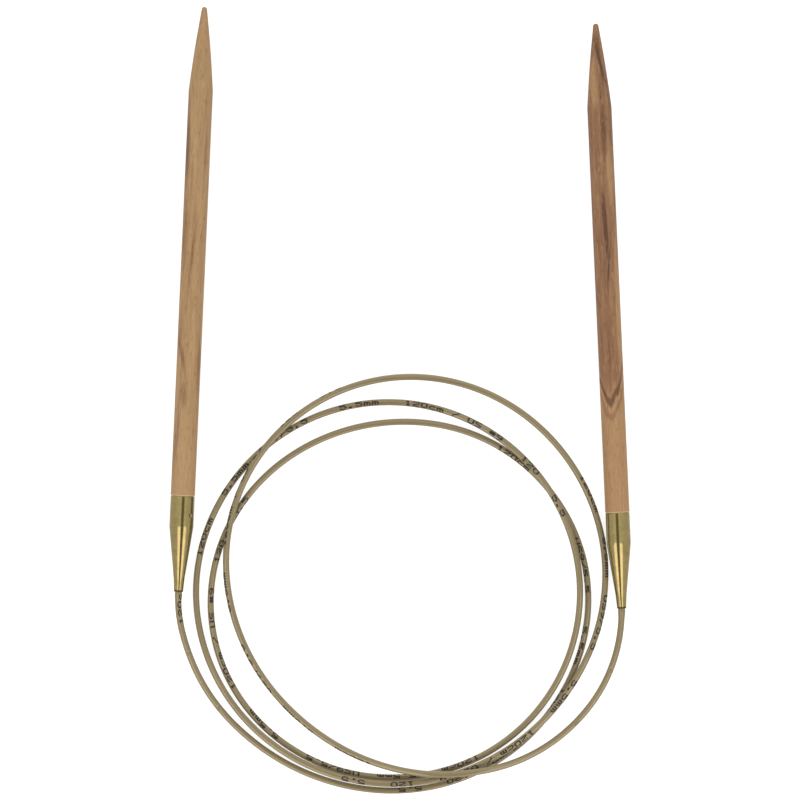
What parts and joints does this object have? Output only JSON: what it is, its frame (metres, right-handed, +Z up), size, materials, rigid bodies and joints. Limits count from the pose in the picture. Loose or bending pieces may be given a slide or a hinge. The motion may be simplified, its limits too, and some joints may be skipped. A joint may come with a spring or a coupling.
{
  "type": "circular knitting needle",
  "caption": "Circular knitting needle: turned wooden tips in tapered brass ferrules, joined by a long thin nylon cord lying in loose turns.",
  "frame": {"origin": "on the table, in the middle of the footprint of the two needles, which lie side by side", "axes": "+Y along the needles towards their tips, +X from the left needle to the right one, +Z up off the table"},
  "size_m": [0.1036, 0.1767, 0.0055],
  "materials": {
    "left_wood": "waxed olive wood with an even light grain",
    "right_wood": "waxed olive wood with dark growth rings",
    "ferrule_brass": "polished, lengthwise drawn",
    "sleeve_metal": "crimped, plain",
    "cord_nylon": "smooth translucent khaki nylon with a small black size print"
  },
  "bodies": {
    "coil": {"cord": "cord_nylon"},
    "left_lead": {"left_cord_lead": "cord_nylon"},
    "right_lead": {"right_cord_lead": "cord_nylon"},
    "left_needle": {"left_shaft": "left_wood", "left_ferrule": "ferrule_brass", "left_cord_sleeve": "sleeve_metal", "left_cord_end": "cord_nylon"},
    "right_needle": {"right_shaft": "right_wood", "right_ferrule": "ferrule_brass", "right_cord_sleeve": "sleeve_metal", "right_cord_end": "cord_nylon"}
  },
  "joints": [
    {"name": "left_swing", "type": "hinge", "parent": "coil", "child": "left_lead", "pos_m": [-0.04467, -0.08384, 0.00207], "axis": [0, 0, 1], "range_deg": [-3, 60]},
    {"name": "left_lift", "type": "hinge", "parent": "left_lead", "child": "left_needle", "pos_m": [-0.04935, -0.07071, 0.00262], "axis": [0.999, -0.0445, 0], "range_deg": [0, 60]},
    {"name": "right_swing", "type": "hinge", "parent": "coil", "child": "right_lead", "pos_m": [0.04405, -0.08738, 0.00269], "axis": [0, 0, -1], "range_deg": [0, 60]},
    {"name": "right_lift", "type": "hinge", "parent": "right_lead", "child": "right_needle", "pos_m": [0.04918, -0.07446, 0.00273], "axis": [0.999, 0.0445, 0], "range_deg": [0, 60]}
  ]
}
